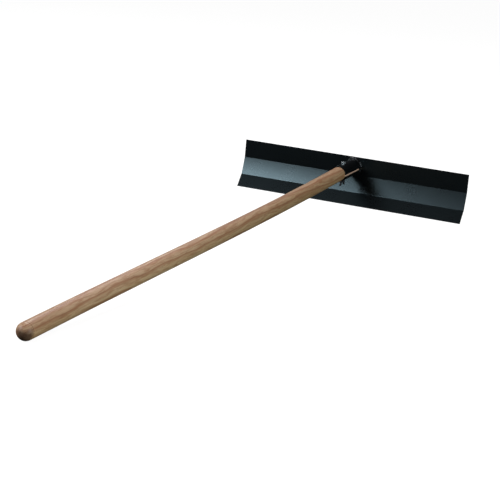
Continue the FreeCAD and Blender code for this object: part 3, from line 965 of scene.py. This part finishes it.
def beech():
    """Turned beech: growth rings cut lengthwise, fine fibres, short dark flecks and a thin seal."""
    finish = Finish("turned_beech", roughness=0.5, specular=0.35, placement=HANDLE_FRAME)
    # Z runs along the handle and Y points down.
    parts = finish.node("ShaderNodeSeparateXYZ", links={"Vector": finish.place}).outputs
    across = finish.maths("MULTIPLY_ADD", parts["X"], RING_DIRECTION[0], finish.maths(
        "MULTIPLY", parts["Y"], RING_DIRECTION[1]))
    quick = finish.noise((60.0, 60.0, 9.0), detail=3.0)
    tone = wood_rings(finish, across, finish.maths("SUBTRACT", quick, 0.5))
    fibres = finish.noise((1500.0, 1500.0, 34.0), detail=3.0, roughness=0.6)
    flecks = finish.noise((620.0, 620.0, 120.0), detail=1.0)
    fleck_share = finish.ranged(flecks, (0.66, 0.74), onto=(0.0, 0.55))
    tone = wood_marks(finish, tone, fibres, fleck_share)
    tone = wood_tints_and_slit_light(finish, tone, across, parts["Z"])
    # Painted shade darkens the butt's groove, and grime with painted shade darkens the dome's lower side.
    shade_and_grime = wood_shade_and_grime(finish, parts, quick)
    tone = finish.mixed(shade_and_grime, tone, SHADE_AND_GRIME_COLOUR)
    gloss = finish.maths("MULTIPLY_ADD", fibres, 0.22, 0.36)
    gloss = finish.maths("MAXIMUM", gloss, shade_and_grime)
    pores = finish.bump(fibres, PORE_DEPTH)
    return finish.apply(tone, gloss, finish.bump(fleck_share, -FLECK_DEPTH, below=pores))


def zinc(name, dark, bright, roughness):
    """Plated steel: cloudy zinc with fine scratches."""
    finish = Finish(name, roughness, metallic=1.0)
    clouds = finish.noise(700.0, detail=3.0)
    tone = finish.mixed(clouds, dark, bright)
    scratches = finish.noise((9000.0, 700.0, 9000.0), detail=2.0)
    gloss = finish.maths("MULTIPLY_ADD", clouds, 0.16, roughness - 0.08)
    gloss = finish.maths("MULTIPLY_ADD", scratches, 0.08, gloss)
    return finish.apply(tone, gloss, finish.bump(scratches, SCRATCH_DEPTH))


# Camera, light and floor.

def direction_from(azimuth, elevation):
    """The direction from the tool to a place round it. Azimuth 0 is past the handle's butt."""
    around = math.radians(azimuth)
    above = math.radians(elevation)
    return Vector((
        math.sin(around) * math.cos(above),
        -math.cos(around) * math.cos(above),
        math.sin(above)))


def make_camera():
    """The camera that the picture is taken from."""
    back = direction_from(CAMERA_AZIMUTH, CAMERA_ELEVATION)
    level = Vector((0, 0, 1)).cross(back).normalized()
    roll = Matrix.Rotation(math.radians(-CAMERA_ROLL), 3, back)
    right = roll @ level
    data = bpy.data.cameras.new("camera")
    data.lens = CAMERA_LENS_MM
    data.sensor_width = CAMERA_SENSOR_MM
    camera = bpy.data.objects.new("camera", data)
    bpy.context.scene.collection.objects.link(camera)
    turned_to = Matrix((right, back.cross(right), back)).transposed().to_4x4()
    camera.matrix_world = Matrix.Translation(CAMERA_PLACE) @ turned_to
    bpy.context.scene.camera = camera


def round_from(aim, azimuth, elevation, distance):
    """A place at a direction and a distance from another place."""
    return Vector(aim) + direction_from(azimuth, elevation) * distance


def make_softbox(name, place, aim, size, power, colour=(1, 1, 1)):
    """A soft light of a power in watts, which the camera does not see."""
    data = bpy.data.lights.new(name, "AREA")
    data.shape = "RECTANGLE"
    data.size, data.size_y = size
    data.energy = power
    data.color = colour
    light = bpy.data.objects.new(name, data)
    bpy.context.scene.collection.objects.link(light)
    light.visible_camera = False
    light.location = place
    light.rotation_mode = "QUATERNION"
    light.rotation_quaternion = (Vector(place) - Vector(aim)).to_track_quat("Z", "Y")


def make_world():
    """Weak light from all round, little of it mirrored, and white behind the floor's far edge."""
    world = bpy.data.worlds.new("studio")
    bpy.context.scene.world = world
    world.use_nodes = True
    nodes = world.node_tree.nodes
    links = world.node_tree.links
    paths = nodes.new("ShaderNodeLightPath").outputs
    dim = nodes["Background"]
    dim.inputs["Color"].default_value = (1, 1, 1, 1)
    level = nodes.new("ShaderNodeMapRange")
    level.inputs["To Min"].default_value = SURROUND_LIGHT
    level.inputs["To Max"].default_value = SURROUND_REFLECTED
    links.new(paths["Is Glossy Ray"], level.inputs["Value"])
    parts = nodes.new("ShaderNodeSeparateXYZ")
    links.new(nodes.new("ShaderNodeTexCoord").outputs["Generated"], parts.inputs["Vector"])
    shade = nodes.new("ShaderNodeMapRange")
    shade.inputs["From Min"].default_value = SURROUND_FADE[0]
    shade.inputs["From Max"].default_value = SURROUND_FADE[1]
    shade.inputs["To Min"].default_value = SURROUND_BELOW
    links.new(parts.outputs["Z"], shade.inputs["Value"])
    strength = nodes.new("ShaderNodeMath")
    strength.operation = "MULTIPLY"
    links.new(level.outputs["Result"], strength.inputs[0])
    links.new(shade.outputs["Result"], strength.inputs[1])
    links.new(strength.outputs["Value"], dim.inputs["Strength"])
    white = nodes.new("ShaderNodeBackground")
    white.inputs["Color"].default_value = (1, 1, 1, 1)
    chosen = nodes.new("ShaderNodeMixShader")
    links.new(paths["Is Camera Ray"], chosen.inputs["Fac"])
    links.new(dim.outputs["Background"], chosen.inputs[1])
    links.new(white.outputs["Background"], chosen.inputs[2])
    links.new(chosen.outputs["Shader"], nodes["World Output"].inputs["Surface"])


def make_floor():
    """A plain white floor. It lights nothing, so the tool's underside stays dark."""
    corners = [(-FLOOR_HALF, -FLOOR_HALF, 0), (FLOOR_HALF, -FLOOR_HALF, 0),
               (FLOOR_HALF, FLOOR_HALF, 0), (-FLOOR_HALF, FLOOR_HALF, 0)]
    mesh = bpy.data.meshes.new("floor")
    mesh.from_pydata(corners, [], [(0, 1, 2, 3)])
    floor = bpy.data.objects.new("floor", mesh)
    bpy.context.scene.collection.objects.link(floor)
    finish = Finish("floor_white", roughness=1.0, specular=0.0)
    finish.shader.inputs["Base Color"].default_value = (FLOOR_GREY, FLOOR_GREY, FLOOR_GREY, 1)
    finish.shader.inputs["Emission Color"].default_value = (1, 1, 1, 1)
    finish.shader.inputs["Emission Strength"].default_value = FLOOR_GLOW
    mesh.materials.append(finish.material)
    floor.visible_glossy = False
    floor.visible_diffuse = False


make_camera()
bpy.context.scene.view_settings.view_transform = "Standard"
make_world()
make_floor()
make_softbox(
    "key", round_from(BLADE_MIDDLE, azimuth=-39, elevation=27, distance=3.0), BLADE_MIDDLE,
    size=(1.2, 1.0), power=56)
make_softbox(
    "fill", round_from(TOOL_MIDDLE, azimuth=75, elevation=12, distance=2.6), TOOL_MIDDLE,
    size=(1.6, 1.2), power=48)
make_softbox(
    "top", round_from(TOOL_MIDDLE, azimuth=-140, elevation=55, distance=2.6), TOOL_MIDDLE,
    size=(1.2, 1.2), power=52, colour=(1, 0.97, 0.97))
# The blade's back mirrors a pale card that lies behind it on the floor.
make_softbox("card", CARD_PLACE, CARD_AIM, size=(2.4, 2.0), power=12)

steel_finish = black_paint("black_powder_coat", specular=0.5)
socket_finish = black_paint("socket_powder_coat", specular=0.25)
weld_finish = weld_paint()
wood_finish = beech()
bright_zinc = zinc(
    "bright_zinc", dark=(0.22, 0.26, 0.28), bright=(0.42, 0.48, 0.50), roughness=0.22)
dull_zinc = zinc(
    "dull_zinc", dark=(0.035, 0.037, 0.040), bright=(0.10, 0.105, 0.115), roughness=0.42)

upper_edge = extent("socket_upper_shell", 2)[0]
lower_edge = -extent("socket_lower_shell", 2)[1]
make_blade(steel_finish)
make_shell("socket_top_half", "socket_upper_shell", 1, upper_edge, socket_finish)
make_shell("socket_bottom_half", "socket_lower_shell", -1, lower_edge, socket_finish)
make_weld("weld_above", "upper_weld_bead", 1, upper_edge, seed=11, material=weld_finish)
make_weld("weld_below", "lower_weld_bead", -1, lower_edge, seed=12, material=weld_finish)
make_handle(wood_finish)
make_bolt(bright_zinc)
make_washer("bolt_head_washer", "head_washer", "tool", bright_zinc)
make_washer("loose_washer", "nut_washer", "clamp_washer", dull_zinc)
make_wing_nut(dull_zinc)
